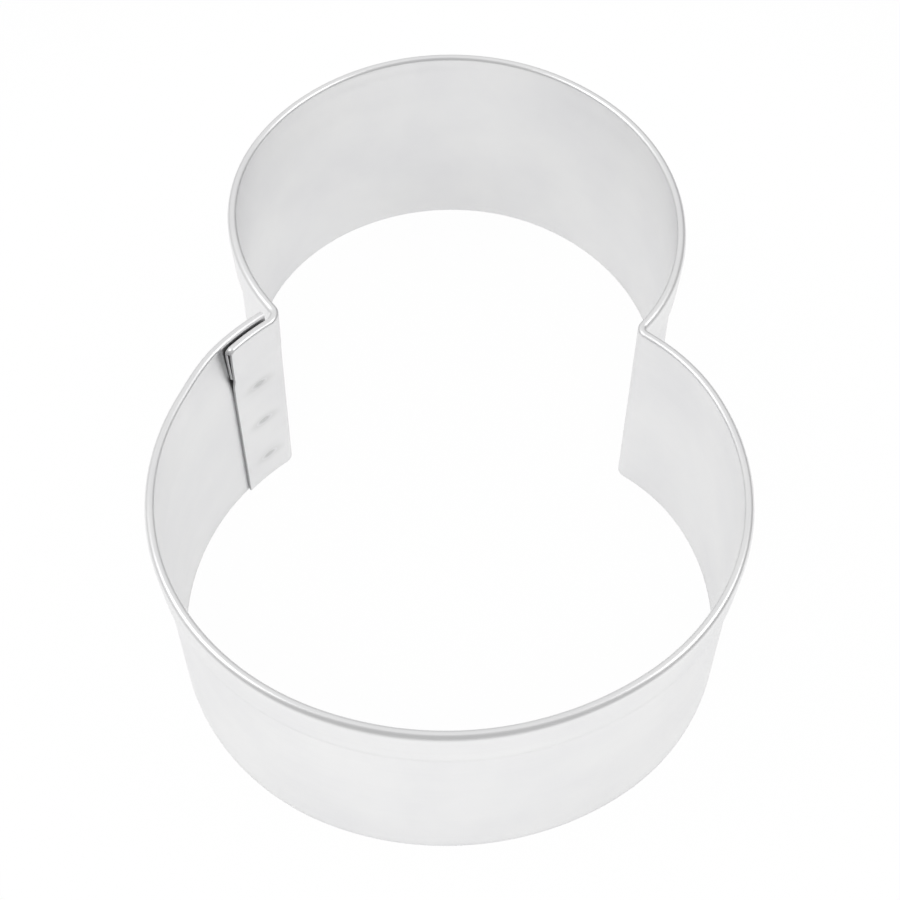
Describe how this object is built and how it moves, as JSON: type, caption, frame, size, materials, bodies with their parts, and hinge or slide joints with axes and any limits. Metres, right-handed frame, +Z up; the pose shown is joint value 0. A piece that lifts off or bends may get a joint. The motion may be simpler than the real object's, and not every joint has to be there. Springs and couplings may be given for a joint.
{
  "type": "number cookie cutter",
  "caption": "Open cookie cutter in the outline of the number 8: a hemmed tinplate strip stood on edge, lapped and spot-welded at one waist.",
  "frame": {"origin": "middle of the object's box, on the plane of the cutting edge", "axes": "+Z up from the cutting edge to the hemmed rim, +Y from the larger lobe to the smaller lobe, +X across the lobes"},
  "size_m": [0.0514, 0.0768, 0.0223],
  "materials": {
    "tinplate": "bright cold-rolled tinplate, satin",
    "weld": "spot weld, slightly dulled by heat"
  },
  "bodies": {
    "root": {"band": "tinplate", "spot_weld_low": "weld", "spot_weld_middle": "weld", "spot_weld_high": "weld"}
  },
  "joints": []
}
